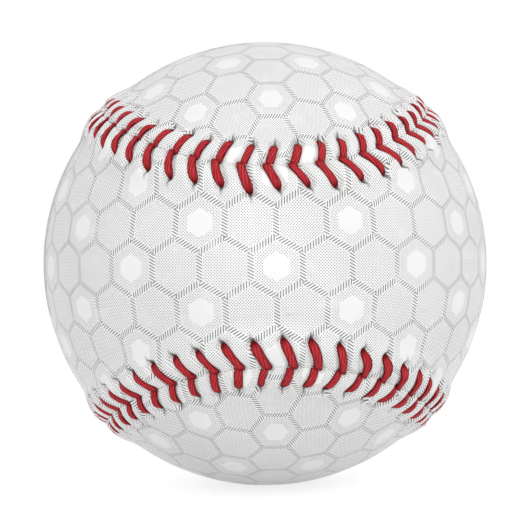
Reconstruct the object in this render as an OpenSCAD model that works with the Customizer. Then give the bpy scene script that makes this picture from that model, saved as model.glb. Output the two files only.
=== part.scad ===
// A baseball: a cork and rubber centre, four windings of yarn, and a cover of
// two figure-8 leather panels sewn together with red thread.
// The origin is the ball's centre and +Z is up. The waist of the front panel
// faces -Y, and its two lobes are at -X and +X.

/* [Ball] */
// Diameter over the leather, clear of the raised seam
ball_d = 73.8; // [70:0.1:78]
// Thickness of each leather panel
leather_t = 1.27; // [1:0.01:1.6]
// Thickness of the adhesive between the yarn and the leather
adhesive_t = 0.22; // [0.2:0.01:0.4]

/* [Centre] */
// Diameter of the cork core
cork_d = 20.64; // [16:0.01:26]
// Thickness of the black rubber half shells
shell_t = 3.97; // [2:0.01:5]
// Thickness of the flat gasket between the half shells
gasket_t = 0.8; // [0.4:0.1:1.6]
// Thickness of the red rubber cups
cup_t = 2.38; // [1.5:0.01:4]

/* [Windings] */
// Depth of the three-ply white wool
white_wool_t = 1.77; // [1:0.01:3]
// Depth of the three-ply grey wool over it
grey_wool_t = 2.1; // [1:0.01:3]
// Depth of the fine finishing yarn
finish_yarn_t = 0.43; // [0.3:0.01:1]

/* [Seam] */
// Width left between the edges of the two panels
seam_gap = 0.2; // [0.1:0.05:0.4]
// Rise of the leather at its very edge
edge_rise = 0.7; // [0.4:0.05:0.9]
// Rise of the lip at its crest
lip_rise = 1.05; // [0.8:0.05:1.3]
// Distance from the seam line to the crest of the lip
crest_reach = 2; // [1.5:0.1:2.6]
// Distance from the seam line to where the lip has died away
lip_reach = 7; // [6:0.1:8]

/* [Stitches] */
// Number of stitches round the whole seam, each with a leg on either panel
stitch_count = 108; // [88:4:116]
// Width of the flattened thread
thread_w = 1.3; // [0.9:0.05:1.6]
// Thickness of the flattened thread
thread_t = 0.55; // [0.4:0.05:0.8]
// Distance from the seam line to the needle holes
hole_reach = 3.4; // [3:0.1:4]
// How far the front leg leans along the seam from its hole to its tip
front_lean = 1.8; // [1:0.1:2.2]
// How far the back leg leans along the seam
back_lean = 0.7; // [0.4:0.1:1]
// How far the two needle holes of a stitch are offset along the seam
hole_stagger = 0.35; // [0:0.05:0.6]

/* [Hidden] */
// Shape of the seam: the shares of a single and a triple turn that make its curve
wide_share = 0.692;
tight_share = 1 - wide_share;
// Running gap under the thread, and between the two tips of a stitch
thread_gap = 0.1;
tip_gap = 0.12;
// How far past the seam line the tip of a front leg reaches, as a share of the thread's width
tip_overlap_share = 0.1;
// Shares of a leg's full section at its tip, on its way to the lip's crest, on the crest, and at its hole
leg_swell_shares = [0.75, 1, 1, 0.5];
// Outline of a leg's section, across the thread and up from the leather
section_shares = [[-0.36, 0], [0.36, 0], [0.5, 0.45], [0, 1], [-0.5, 0.45]];
// Where the stitches fall round the seam, in shares of one stitch's spacing
stitch_start_share = -0.05;
stitch_drift_share = 0.18;

ball_r = ball_d / 2;
finish_r = ball_r - leather_t - adhesive_t;
grey_wool_r = finish_r - finish_yarn_t;
white_wool_r = grey_wool_r - grey_wool_t;
first_wool_r = white_wool_r - white_wool_t;
cork_r = cork_d / 2;
shell_r = cork_r + shell_t;
cup_r = shell_r + cup_t;
leather_inner_r = ball_r - leather_t;

full_turn = 360;
degrees_per_radian = 180 / PI;
seam_joint = seam_gap / 2;
lip_steps = 4;
seam_steps = 108;
span_steps = 10;
half_steps = seam_steps / 2;
loop_count = lip_steps + 1;
span_inner = span_steps - 1;
skin_count = seam_steps * loop_count + (half_steps - 1) * span_inner;
$fn = 96;

function unit(v) = v / norm(v);

// The seam on a ball of radius one. The angle runs once round, from -90 where
// the left lobe of the front panel ends, through 0 at the middle of its upper
// edge, to 270.
function seam_point(angle) = [
    wide_share * sin(angle) + tight_share * sin(3 * angle),
    -2 * sqrt(wide_share * tight_share) * cos(2 * angle),
    wide_share * cos(angle) - tight_share * cos(3 * angle)];

function seam_heading(angle) = unit([
    wide_share * cos(angle) + 3 * tight_share * cos(3 * angle),
    4 * sqrt(wide_share * tight_share) * sin(2 * angle),
    3 * tight_share * sin(3 * angle) - wide_share * sin(angle)]);

// The speed along the seam squared is its mean less a ripple times the cosine
// of four angles, which gives its mean speed and the angles of even spacing.
speed_mean_squared = pow(wide_share, 2) + 9 * pow(tight_share, 2) + 8 * wide_share * tight_share;
speed_ripple_share = wide_share * tight_share / speed_mean_squared;
seam_per_degree = ball_r * sqrt(speed_mean_squared) / degrees_per_radian;

// The seam's angle after a share of its whole length
function even_angle(turn) = full_turn * turn
    + speed_ripple_share / 4 * degrees_per_radian * sin(4 * full_turn * turn);

// A place beside the seam: reach is the distance over the ball from the seam
// line, towards the back panel where it is positive.
function beside(angle, reach, radius) =
    let (turn = reach / ball_r * degrees_per_radian, out = seam_point(angle))
    radius * (cos(turn) * out + sin(turn) * cross(out, seam_heading(angle)));

// Rise of the leather above the ball, at a distance from the seam line
function rise(reach) =
    reach < crest_reach ? edge_rise + (lip_rise - edge_rise) * sin(90 * reach / crest_reach) :
    reach < lip_reach ? lip_rise * (1 + cos(180 * (reach - crest_reach) / (lip_reach - crest_reach))) / 2 :
    0;

// Radius of the leather's face at a reach from the seam
function face_radius(reach) = ball_r + rise(abs(reach));

// Half the leather's outer or inner skin is a mirror image of the other half,
// so row i of a panel runs straight across from seam step i to its partner.
function row_partner(i) = (seam_steps - i) % seam_steps;
function row_angle(i) = even_angle(i / seam_steps - 1 / 4);

// The points of one skin of a panel: first its loops along the seam, then the
// rows that fill it in
function skin_points(outer) = [
    for (j = [0 : lip_steps], i = [0 : seam_steps - 1])
        let (reach = seam_joint + (lip_reach - seam_joint) * j / lip_steps)
        beside(row_angle(i), -reach, outer ? face_radius(reach) : leather_inner_r),
    for (i = [1 : half_steps - 1], k = [1 : span_inner])
        let (
            side = beside(row_angle(i), -lip_reach, 1),
            outward = unit([side[0], side[1], 0]),
            tilt = asin(side[2]) * (1 - 2 * k / span_steps)
        )
        (outer ? ball_r : leather_inner_r) * [cos(tilt) * outward[0], cos(tilt) * outward[1], sin(tilt)]];

function loop_index(j, i) = j * seam_steps + i % seam_steps;

// Index of the point in row i and column k: the ends of each row, and the
// first and last rows, are points of the innermost loop
function fill_index(i, k) =
    i == 0 || i == half_steps || k == 0 ? loop_index(lip_steps, i) :
    k == span_steps ? loop_index(lip_steps, row_partner(i)) :
    seam_steps * loop_count + (i - 1) * span_inner + k - 1;

function split(quad) = [[quad[0], quad[1], quad[2]], [quad[0], quad[2], quad[3]]];

skin_faces = [
    for (j = [0 : lip_steps - 1], i = [0 : seam_steps - 1])
        each split([loop_index(j, i), loop_index(j, i + 1), loop_index(j + 1, i + 1), loop_index(j + 1, i)]),
    for (i = [0 : half_steps - 1], k = [0 : span_steps - 1])
        let (
            a = fill_index(i, k),
            b = fill_index(i + 1, k),
            c = fill_index(i + 1, k + 1),
            d = fill_index(i, k + 1)
        )
        each (i == 0 ? [[a, b, c]] : i == half_steps - 1 ? [[a, b, d]] : split([a, b, c, d]))];

function flipped(face) = [for (p = [len(face) - 1 : -1 : 0]) face[p] + skin_count];

// One figure-8 panel of leather, with its waist at -Y
module cover_panel() {
    edge_faces = [
        for (i = [0 : seam_steps - 1])
            each split([loop_index(0, i + 1), loop_index(0, i),
                skin_count + loop_index(0, i), skin_count + loop_index(0, i + 1)])];
    polyhedron(
        points = concat(skin_points(true), skin_points(false)),
        faces = concat(skin_faces, [for (face = skin_faces) flipped(face)], edge_faces),
        convexity = 6
    );
}

// One leg of a stitch, lying on the leather from its tip near the seam line to
// its needle hole. Each end is given as a distance along the seam and a reach.
module thread_leg(start_angle, tip, hole) {
    along = unit(hole - tip);
    across = [-along[1], along[0]];
    sides = len(section_shares);
    rings = len(leg_swell_shares);
    crest = (crest_reach - abs(tip[1])) / (hole_reach - abs(tip[1]));
    places = [0, crest / 2, crest, 1];
    points = [
        for (r = [0 : rings - 1], s = section_shares)
            let (
                swell = leg_swell_shares[r],
                place = tip + places[r] * (hole - tip) + s[0] * swell * thread_w * across
            )
            beside(start_angle + place[0] / seam_per_degree, place[1],
                face_radius(place[1]) + thread_gap + s[1] * swell * thread_t)];
    walls = [
        for (r = [0 : rings - 2], s = [0 : sides - 1])
            let (next = (s + 1) % sides)
            each split([r * sides + next, r * sides + s, (r + 1) * sides + s, (r + 1) * sides + next])];
    near_end = [for (s = [0 : sides - 1]) s];
    far_end = [for (s = [sides - 1 : -1 : 0]) (rings - 1) * sides + s];
    polyhedron(points = points, faces = concat(walls, [near_end, far_end]), convexity = 2);
}

// The stitches' places round the seam, spaced evenly with a slight drift
function stitch_angle(k) =
    let (place = full_turn * k / stitch_count)
    even_angle((k + stitch_start_share + stitch_drift_share * cos(place)) / stitch_count);

front_tip_reach = tip_overlap_share * thread_w;
front_slope = front_lean / norm([front_lean, hole_reach]);
back_slope = back_lean / norm([back_lean, hole_reach]);
back_tip_reach = front_tip_reach + thread_w * (front_slope + back_slope) / 2 + tip_gap;

module stitches_on_front() {
    hole = [hole_stagger / 2, -hole_reach];
    tip = [hole[0] - front_lean, -front_tip_reach + tip_gap];
    for (k = [0 : stitch_count - 1]) thread_leg(stitch_angle(k), tip, hole);
}

module stitches_on_back() {
    hole = [-hole_stagger / 2, hole_reach];
    tip = [hole[0] - back_lean, back_tip_reach];
    for (k = [0 : stitch_count - 1]) thread_leg(stitch_angle(k), tip, hole);
}

// A hollow ball, closed all round
module winding(outer_r, inner_r) {
    difference() {
        sphere(r = outer_r);
        sphere(r = inner_r);
    }
}

// The upper half of a hollow ball, cut off flat at a height above its middle
module half_shell(outer_r, inner_r, foot) {
    difference() {
        sphere(r = outer_r);
        sphere(r = inner_r);
        translate([-outer_r, -outer_r, -outer_r])
            cube([2 * outer_r, 2 * outer_r, outer_r + foot]);
    }
}

module cork_core() {
    color("peru") sphere(r = cork_r);
}

module inner_shell_upper() {
    color([0.08, 0.08, 0.08]) half_shell(shell_r, cork_r, gasket_t / 2);
}

module inner_shell_lower() {
    color([0.08, 0.08, 0.08]) mirror([0, 0, 1]) half_shell(shell_r, cork_r, gasket_t / 2);
}

module shell_gasket() {
    color("firebrick")
        intersection() {
            winding(shell_r, cork_r);
            cylinder(r = cup_r, h = gasket_t, center = true);
        }
}

module pill_cup_upper() {
    color("indianred") half_shell(cup_r, shell_r, 0);
}

module pill_cup_lower() {
    color("indianred") mirror([0, 0, 1]) half_shell(cup_r, shell_r, 0);
}

module wool_winding_first() {
    color([0.45, 0.45, 0.46]) winding(first_wool_r, cup_r);
}

module wool_winding_second() {
    color([0.88, 0.86, 0.82]) winding(white_wool_r, first_wool_r);
}

module wool_winding_third() {
    color([0.55, 0.55, 0.56]) winding(grey_wool_r, white_wool_r);
}

module finish_winding() {
    color([0.93, 0.92, 0.88]) winding(finish_r, grey_wool_r);
}

module cover_panel_front() {
    color([0.94, 0.94, 0.93]) cover_panel();
}

module cover_panel_back() {
    color([0.9, 0.9, 0.89]) rotate(a = 180, v = [1, 0, 1]) cover_panel();
}

module stitches_front() {
    color([0.72, 0.08, 0.12]) stitches_on_front();
}

module stitches_back() {
    color([0.72, 0.08, 0.12]) stitches_on_back();
}

cork_core();
inner_shell_upper();
inner_shell_lower();
shell_gasket();
pill_cup_upper();
pill_cup_lower();
wool_winding_first();
wool_winding_second();
wool_winding_third();
finish_winding();
cover_panel_front();
cover_panel_back();
stitches_front();
stitches_back();
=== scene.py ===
"""The looks of a sewn leather baseball, built round its packed centre and windings."""

import logging
import math
from collections.abc import Callable, Iterator
from dataclasses import dataclass
from enum import Enum

import bmesh
import bpy
import numpy as np
from mathutils import Matrix, Vector


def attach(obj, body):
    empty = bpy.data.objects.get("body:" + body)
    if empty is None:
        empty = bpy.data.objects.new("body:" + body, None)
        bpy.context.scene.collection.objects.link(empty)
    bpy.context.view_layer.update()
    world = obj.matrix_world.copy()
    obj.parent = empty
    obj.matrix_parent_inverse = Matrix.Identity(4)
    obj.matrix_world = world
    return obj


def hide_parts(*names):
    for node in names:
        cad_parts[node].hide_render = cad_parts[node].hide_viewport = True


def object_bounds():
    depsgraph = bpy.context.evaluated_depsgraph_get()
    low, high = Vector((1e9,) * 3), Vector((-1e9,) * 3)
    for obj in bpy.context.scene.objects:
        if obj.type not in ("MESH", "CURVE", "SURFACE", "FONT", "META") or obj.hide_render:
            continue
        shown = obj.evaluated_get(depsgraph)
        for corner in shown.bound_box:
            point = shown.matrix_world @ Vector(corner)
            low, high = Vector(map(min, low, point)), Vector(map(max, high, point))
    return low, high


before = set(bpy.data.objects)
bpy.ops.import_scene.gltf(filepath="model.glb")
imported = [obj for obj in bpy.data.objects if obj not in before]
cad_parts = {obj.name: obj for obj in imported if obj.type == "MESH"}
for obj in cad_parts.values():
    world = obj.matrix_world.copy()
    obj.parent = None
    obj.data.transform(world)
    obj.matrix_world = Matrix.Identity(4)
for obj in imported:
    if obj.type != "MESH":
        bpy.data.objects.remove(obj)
CAD_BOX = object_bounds()

LOG = logging.getLogger("baseball")
MM = 0.001
TAU = math.tau

# Names of the maps and attributes that the finishes read
PRINT_MAP = "print"
STRAND_MAP = "strand"
NEEDLE_MARK = "needle"

# Distance in millimetres that a needle mark gives where no hole is near
FAR_OFF = 9.0


class Side(Enum):
    """The two sides of the seam. The value is the sign of the reach there."""

    FRONT = -1
    BACK = 1


def unit(vectors: np.ndarray) -> np.ndarray:
    """Returns the vectors at a length of one."""
    return vectors / np.linalg.norm(vectors, axis=-1, keepdims=True)


def ease(value: np.ndarray, low: float, high: float) -> np.ndarray:
    """Rises smoothly from 0 to 1.

    Args:
        value: What the rise follows.
        low: The value where the rise starts.
        high: The value where it ends, which may be the lower of the two.

    Returns:
        The height of the rise for each value.
    """
    share = np.clip((value - low) / (high - low), 0, 1)
    return share * share * (3 - 2 * share)


def read_points(piece: bpy.types.Object) -> np.ndarray:
    """Reads the places of a piece's vertices.

    Args:
        piece: The object.

    Returns:
        A row for each vertex.
    """
    points = np.empty(len(piece.data.vertices) * 3)
    piece.data.vertices.foreach_get("co", points)
    return points.reshape(-1, 3)


def write_points(piece: bpy.types.Object, points: np.ndarray) -> None:
    """Moves a piece's vertices to the given places."""
    piece.data.vertices.foreach_set("co", points.astype(np.float32).ravel())
    piece.data.update()


def add_map(piece: bpy.types.Object, name: str, places: np.ndarray) -> None:
    """Adds a UV map to a piece.

    Args:
        piece: The object that gets the map.
        name: The map's name.
        places: A row of two numbers for each vertex.
    """
    corners = np.empty(len(piece.data.loops), dtype=np.int32)
    piece.data.loops.foreach_get("vertex_index", corners)
    layer = piece.data.uv_layers.new(name=name, do_init=False)
    layer.uv.foreach_set("vector", places[corners].astype(np.float32).ravel())


def select_only(*pieces: bpy.types.Object) -> None:
    """Selects the given pieces alone, with the first of them active.

    Args:
        *pieces: The objects, or none to leave nothing selected.
    """
    bpy.ops.object.select_all(action="DESELECT")
    for piece in reversed(pieces):
        piece.select_set(True)
        bpy.context.view_layer.objects.active = piece


def start_piece(add: Callable, name: str, **sizes: object) -> bpy.types.Object:
    """Starts a piece from a primitive, with nothing else selected.

    Args:
        add: The operator that adds the primitive.
        name: The piece's name.
        **sizes: The operator's own settings.

    Returns:
        The new object.
    """
    select_only()
    add(**sizes)
    piece = bpy.context.object
    piece.name = name
    piece.data.name = name
    return piece


def join_pieces(pieces: list[bpy.types.Object]) -> bpy.types.Object:
    """Joins pieces into one.

    Args:
        pieces: The objects, of which the first stays.

    Returns:
        The first of them.
    """
    select_only(*pieces)
    bpy.ops.object.join()
    return pieces[0]


def pick_points(piece: bpy.types.Object, chosen: np.ndarray) -> None:
    """Selects some vertices of a piece, and the edges between them, in edit mode.

    Args:
        piece: The object.
        chosen: Marks the vertices.
    """
    select_only(piece)
    bpy.ops.object.mode_set(mode="EDIT")
    bpy.ops.mesh.select_mode(type="VERT")
    bpy.ops.mesh.select_all(action="DESELECT")
    bpy.ops.object.mode_set(mode="OBJECT")
    piece.data.vertices.foreach_set("select", chosen.astype(bool))
    bpy.ops.object.mode_set(mode="EDIT")


def turn_faces_out() -> None:
    """Turns the faces of the active object's closed shells outwards."""
    bpy.ops.object.mode_set(mode="EDIT")
    bpy.ops.mesh.select_all(action="SELECT")
    bpy.ops.mesh.normals_make_consistent(inside=False)
    bpy.ops.object.mode_set(mode="OBJECT")


def dress(piece: bpy.types.Object, material: bpy.types.Material) -> None:
    """Gives a piece its one material."""
    piece.data.materials.clear()
    piece.data.materials.append(material)


def finish_piece(piece: bpy.types.Object, slot: str, material: bpy.types.Material, *nodes: str) -> None:
    """Dresses a new piece, makes it ride on the ball and reports it.

    Args:
        piece: The finished object.
        slot: Name of the record's material slot; not used.
        material: The finish.
        *nodes: The CAD nodes that it stands for.
    """
    dress(piece, material)
    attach(piece, "root")
    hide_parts(*nodes)
    piece.data.calc_loop_triangles()
    LOG.info("%s: %d triangles for %s", piece.name, len(piece.data.loop_triangles), ", ".join(nodes))


@dataclass(frozen=True)
class SeamLine:
    """The curve in which the two panels meet.

    An angle of 0 is the middle of the front panel's upper edge, and a quarter
    turn before it the left lobe ends. Reach is the distance over the ball from
    the curve, negative on the front panel.

    Attributes:
        ball_r: Radius of the ball over the leather, clear of the seam.
        wide_share: Share of the single turn in the curve.
    """

    ball_r: float = 36.9 * MM
    wide_share: float = 0.692

    @property
    def tight_share(self) -> float:
        """Share of the triple turn in the curve."""
        return 1 - self.wide_share

    @property
    def speed_squared(self) -> float:
        """Mean of the squared speed along the curve, on a ball of radius one."""
        return self.wide_share**2 + 9 * self.tight_share**2 + 8 * self.wide_share * self.tight_share

    @property
    def pace(self) -> float:
        """Length of seam for each radian of angle."""
        return self.ball_r * math.sqrt(self.speed_squared)

    @property
    def ripple(self) -> float:
        """How far even spacing departs from even angles."""
        return self.wide_share * self.tight_share / self.speed_squared / 4

    def angle(self, turn: np.ndarray) -> np.ndarray:
        """Returns the angle after a share of the seam's whole length."""
        return TAU * turn + self.ripple * np.sin(4 * TAU * turn)

    def turn(self, angle: np.ndarray) -> np.ndarray:
        """Returns the share of the seam's length at an angle."""
        return (angle - self.ripple * np.sin(4 * angle)) / TAU

    def point(self, angle: np.ndarray) -> np.ndarray:
        """Finds points of the curve.

        Args:
            angle: The seam angle of each point.

        Returns:
            The points, on a ball of radius one.
        """
        wide, tight = self.wide_share, self.tight_share
        return np.stack([
            wide * np.sin(angle) + tight * np.sin(3 * angle),
            -2 * math.sqrt(wide * tight) * np.cos(2 * angle),
            wide * np.cos(angle) - tight * np.cos(3 * angle),
        ], axis=-1)

    def heading(self, angle: np.ndarray) -> np.ndarray:
        """Finds the way in which the curve runs.

        Args:
            angle: The seam angle of each place.

        Returns:
            A direction for each place.
        """
        wide, tight = self.wide_share, self.tight_share
        return unit(np.stack([
            wide * np.cos(angle) + 3 * tight * np.cos(3 * angle),
            4 * math.sqrt(wide * tight) * np.sin(2 * angle),
            3 * tight * np.sin(3 * angle) - wide * np.sin(angle),
        ], axis=-1))

    def beside(self, angle: np.ndarray, reach: np.ndarray, radius: np.ndarray) -> np.ndarray:
        """Finds places beside the curve.

        Args:
            angle: The seam angle of each place.
            reach: The distance from the curve, over the ball.
            radius: The distance from the ball's centre.

        Returns:
            A point for each place.
        """
        out = self.point(angle)
        across = np.cross(out, self.heading(angle))
        turned = (reach / self.ball_r)[..., None]
        return radius[..., None] * (np.cos(turned) * out + np.sin(turned) * across)


@dataclass(frozen=True)
class Legs:
    """The thread legs on one side of the seam, with a row for each stitch.

    Attributes:
        angle: The seam angle that each leg is placed from.
        hole: Its needle hole, as a distance along the seam and a reach.
        tip: Its inner end, in the same way.
        bow: How far its middle stands off the straight line.
        width: Its width.
    """

    angle: np.ndarray
    hole: np.ndarray
    tip: np.ndarray
    bow: np.ndarray
    width: np.ndarray


@dataclass(frozen=True)
class Sewing:
    """How the thread lies on one panel and draws up its leather.

    Attributes:
        lean: How far a leg leans along the seam.
        tip_reach: Reach of a leg's inner end.
        bow: How far a leg's middle stands off its line.
        lift: How far a leg's inner end lies over the other side's.
        slant: How far that end is cut aslant, as a share of the leg's width.
        widths: Width of a leg at each of its rings, as a share of the thread's.
        heights: Its thickness at each ring, in the same way.
        groove: How deep the thread presses into the leather.
        mark: How closely the painted shade at the needle holes is drawn.
        crest: Rise of the leather's lip at its crest.
        crest_reach: Distance from the seam to the crest.
        foot_reach: Distance from the seam to where the lip has died away.
    """

    lean: float
    tip_reach: float
    bow: float
    lift: float
    slant: float
    widths: tuple[float, ...]
    heights: tuple[float, ...]
    groove: float
    mark: float
    crest: float
    crest_reach: float
    foot_reach: float = 7 * MM

    def lip(self, reach: np.ndarray, valley: float) -> np.ndarray:
        """Finds the height of the leather's lip.

        Args:
            reach: The distance of each place from the seam.
            valley: Rise of the leather at the seam itself.

        Returns:
            The height above the ball.
        """
        climb = np.sin(TAU / 4 * np.clip(reach / self.crest_reach, 0, 1))
        fall = ease(reach, self.foot_reach, self.crest_reach)
        return np.where(reach < self.crest_reach, valley + (self.crest - valley) * climb, self.crest * fall)


@dataclass(frozen=True)
class StitchPlan:
    """Where each thread leg lies, sewn by hand and so never quite alike.

    Attributes:
        seam: The curve that the stitches follow.
        front: How the front panel is sewn.
        back: How the back panel is sewn.
        count: Number of stitches.
        start_share: Where the first stitch falls, in shares of the spacing.
        drift_share: How far the stitches drift from even spacing.
        hole_reach: Distance from the seam to the needle holes.
        hole_stagger: Offset along the seam of a stitch's two holes.
        thread_w: Width of the flattened thread.
        unevenness: Typical error of the sewer, as a length.
        worst_error: The largest error, in typical ones.
        hole_errors: Share of the error at a hole, along the seam and across it, and in a leg's bow.
        tip_errors: Share of it at an inner end, along the seam and across it.
        width_error: Typical error of the thread's width, as a share of it.
        width_limits: Smallest and largest width of a leg, as a share of the thread's.
        seed: Start of the random draws.
    """

    seam: SeamLine
    front: Sewing = Sewing(
        lean=1.74 * MM, tip_reach=0.02 * MM, bow=0.14 * MM, lift=0.2 * MM, slant=0.42,
        widths=(0.58, 0.88, 1.02, 1.02, 1.02, 1.05, 1.02, 0.84, 0.46),
        heights=(0.5, 0.8, 0.95, 1, 1, 1, 0.96, 0.8, 0.5),
        groove=0.86 * MM, mark=0.78, crest=1.12 * MM, crest_reach=2.5 * MM,
    )
    back: Sewing = Sewing(
        lean=0.98 * MM, tip_reach=0.4 * MM, bow=0.06 * MM, lift=0.0, slant=0.25,
        widths=(0.7, 0.95, 1.04, 1.07, 1.09, 1.1, 1.05, 0.88, 0.52),
        heights=(0.4, 0.6, 0.8, 0.96, 1, 1, 0.96, 0.8, 0.5),
        groove=0.74 * MM, mark=1.0, crest=0.92 * MM, crest_reach=1.9 * MM,
    )
    count: int = 108
    start_share: float = -0.05
    drift_share: float = 0.18
    hole_reach: float = 3.4 * MM
    hole_stagger: float = 0.35 * MM
    thread_w: float = 1.28 * MM
    unevenness: float = 0.13 * MM
    worst_error: float = 2.2
    hole_errors: tuple[float, ...] = (1.0, 1.4, 0.5)
    tip_errors: tuple[float, ...] = (1.0, 0.5)
    width_error: float = 0.06
    width_limits: tuple[float, ...] = (0.86, 1.16)
    seed: int = 9

    def sewing(self, side: Side) -> Sewing:
        """Returns how one side is sewn."""
        return self.front if side is Side.FRONT else self.back

    def angles(self) -> np.ndarray:
        """Spaces the stitches along the seam.

        Returns:
            The seam angle of each.
        """
        numbers = np.arange(self.count)
        drift = self.drift_share * np.cos(TAU * numbers / self.count)
        return self.seam.angle((numbers + self.start_share + drift) / self.count)

    def legs(self, side: Side) -> Legs:
        """Places the legs on one side of the seam.

        Args:
            side: Which panel they lie on.

        Returns:
            The legs' places and widths.
        """
        sewing = self.sewing(side)
        worst = self.worst_error * self.unevenness
        meeting = np.random.default_rng(self.seed).normal(0, self.unevenness, (self.count, 2))
        chance = np.random.default_rng(self.seed + side.value)
        errors = chance.normal(0, self.unevenness, (self.count, 3)).clip(-worst, worst) * self.hole_errors
        along = -side.value * self.hole_stagger / 2
        hole = np.stack([along + errors[:, 0], side.value * (self.hole_reach + errors[:, 1])], axis=1)
        tip = [along - sewing.lean, sewing.tip_reach] + meeting.clip(-worst, worst) * self.tip_errors
        wider = chance.normal(0, self.width_error, self.count)
        width = self.thread_w * (1 + wider).clip(*self.width_limits)
        return Legs(self.angles(), hole, tip, sewing.bow + errors[:, 2], width)


@dataclass(frozen=True)
class LeatherFace:
    """The face of the leather near the seam: lips, puffs between the threads, and needle holes.

    Attributes:
        seam: The curve that the panels meet in.
        plan: The stitches that draw the leather in.
        near: How many stitches to either side of a place can shape it.
        valley: Rise of the leather at the seam itself.
        crease_depth: How far the cut edges round down at the seam.
        crease_w: Width of that rounding.
        groove_w: Half width of the groove that a thread presses in.
        groove_power: How steep the groove's walls are.
        ride_share: How much shallower it is where a leg rides over the lip.
        ride_place: Where that is, as a share of the way from hole to seam.
        pit_depth: Depth of the dimple at a needle hole.
        pit_out: Distance from the hole out to the dimple's middle.
        pit_length: Half length of the dimple, along the thread.
        pit_w: Half width of the dimple.
        slit_depth: Depth of the slit that runs out from a hole.
        slit_start: Where the slit starts and where it is deepest, out from the hole.
        slit_length: Length of the slit.
        slit_w: Half width of the slit.
        fan_depth: Depth of the hollow that fans out from a hole.
        fan_start: Where the hollow starts and where it is deepest, out from the hole.
        fan_end: Where it ends, and where it is last at its deepest.
        fan_w: Its half width at the hole.
        fan_spread: How much that grows with the distance from the hole.
        mark_w: Distance off a slit past which it gets no painted shade.
    """

    seam: SeamLine
    plan: StitchPlan
    near: int = 2
    valley: float = 0.74 * MM
    crease_depth: float = 0.14 * MM
    crease_w: float = 0.1 * MM
    groove_w: float = 0.95 * MM
    groove_power: int = 5
    ride_share: float = 0.45
    ride_place: float = 0.55
    pit_depth: float = 0.3 * MM
    pit_out: float = 0.08 * MM
    pit_length: float = 0.46 * MM
    pit_w: float = 0.42 * MM
    slit_depth: float = 0.16 * MM
    slit_start: tuple[float, ...] = (-0.3 * MM, 0.1 * MM)
    slit_length: float = 1.3 * MM
    slit_w: float = 0.17 * MM
    fan_depth: float = 0.06 * MM
    fan_start: tuple[float, ...] = (-0.8 * MM, 0.6 * MM)
    fan_end: tuple[float, ...] = (3.2 * MM, 0.4 * MM)
    fan_w: float = 0.5 * MM
    fan_spread: float = 0.22
    mark_w: float = 1.2 * MM

    def near_legs(self, legs: Legs, angle: np.ndarray, reach: np.ndarray) -> Iterator[tuple[np.ndarray, ...]]:
        """Goes through the stitches round each place.

        Args:
            legs: The legs of one side.
            angle: The seam angle of each place.
            reach: The reach of each place, with its sign.

        Yields:
            The share of the way from hole to tip, the distance off the leg's
            line, and the distances across and out along the hole's slit.
        """
        nearest = np.rint(self.seam.turn(angle) * self.plan.count - self.plan.start_share).astype(int)
        for step in range(-self.near, self.near + 1):
            k = (nearest + step) % self.plan.count
            turned = (angle - legs.angle[k] + TAU / 2) % TAU - TAU / 2
            place = np.stack([turned * self.seam.pace, reach], axis=-1) - legs.hole[k]
            span = legs.tip[k] - legs.hole[k]
            length = np.linalg.norm(span, axis=-1)
            line = span / length[..., None]
            raw_share = (place * line).sum(-1) / length
            share = raw_share.clip(0, 1)
            sideways = place[..., 0] * line[..., 1] - place[..., 1] * line[..., 0]
            bowed = sideways - legs.bow[k] * np.sin(TAU / 2 * share)
            overshoot = (raw_share - share) * length
            slit_line = unit(-line + np.stack([0 * length, np.sign(legs.hole[k][..., 1])], axis=-1))
            out = (place * slit_line).sum(-1)
            across = place[..., 0] * slit_line[..., 1] - place[..., 1] * slit_line[..., 0]
            yield share, np.hypot(bowed, overshoot), across, out

    def bed(self, angle: np.ndarray, reach: np.ndarray) -> np.ndarray:
        """Finds the leather's height without the crease at the seam.

        Args:
            angle: The seam angle of each place.
            reach: The reach of each place, with its sign.

        Returns:
            The height above the ball.
        """
        lips = [self.plan.sewing(side).lip(np.abs(reach), self.valley) for side in Side]
        groove, pit, slit, fan = np.zeros((4, *reach.shape))
        for side in Side:
            full_depth = self.plan.sewing(side).groove
            for share, off, across, out in self.near_legs(self.plan.legs(side), angle, reach):
                way_off = np.where(share < self.ride_place, self.ride_place, 1 - self.ride_place)
                ride = self.ride_share * (1 - ((share - self.ride_place) / way_off) ** 2)
                wall = np.exp(-((off / self.groove_w) ** self.groove_power))
                groove = np.maximum(groove, full_depth * (1 - ride) * wall)
                bowl = ((out - self.pit_out) / self.pit_length) ** 2 + (across / self.pit_w) ** 2
                pit = np.maximum(pit, self.pit_depth * np.exp(-bowl))
                along_slit = ease(out, self.slit_length, 0) * ease(out, *self.slit_start)
                slit = np.maximum(slit, self.slit_depth * along_slit * np.exp(-((across / self.slit_w) ** 2)))
                along_fan = ease(out, *self.fan_end) * ease(out, *self.fan_start)
                width = self.fan_w + self.fan_spread * np.abs(out)
                fan = np.maximum(fan, along_fan * np.exp(-((across / width) ** 2)))
        return np.where(reach < 0, *lips) - groove - pit - slit - self.fan_depth * fan

    def crease(self, distance: np.ndarray) -> np.ndarray:
        """Returns how far the cut edges round down at a distance from the seam."""
        return self.crease_depth * np.exp(-distance / self.crease_w)

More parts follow.
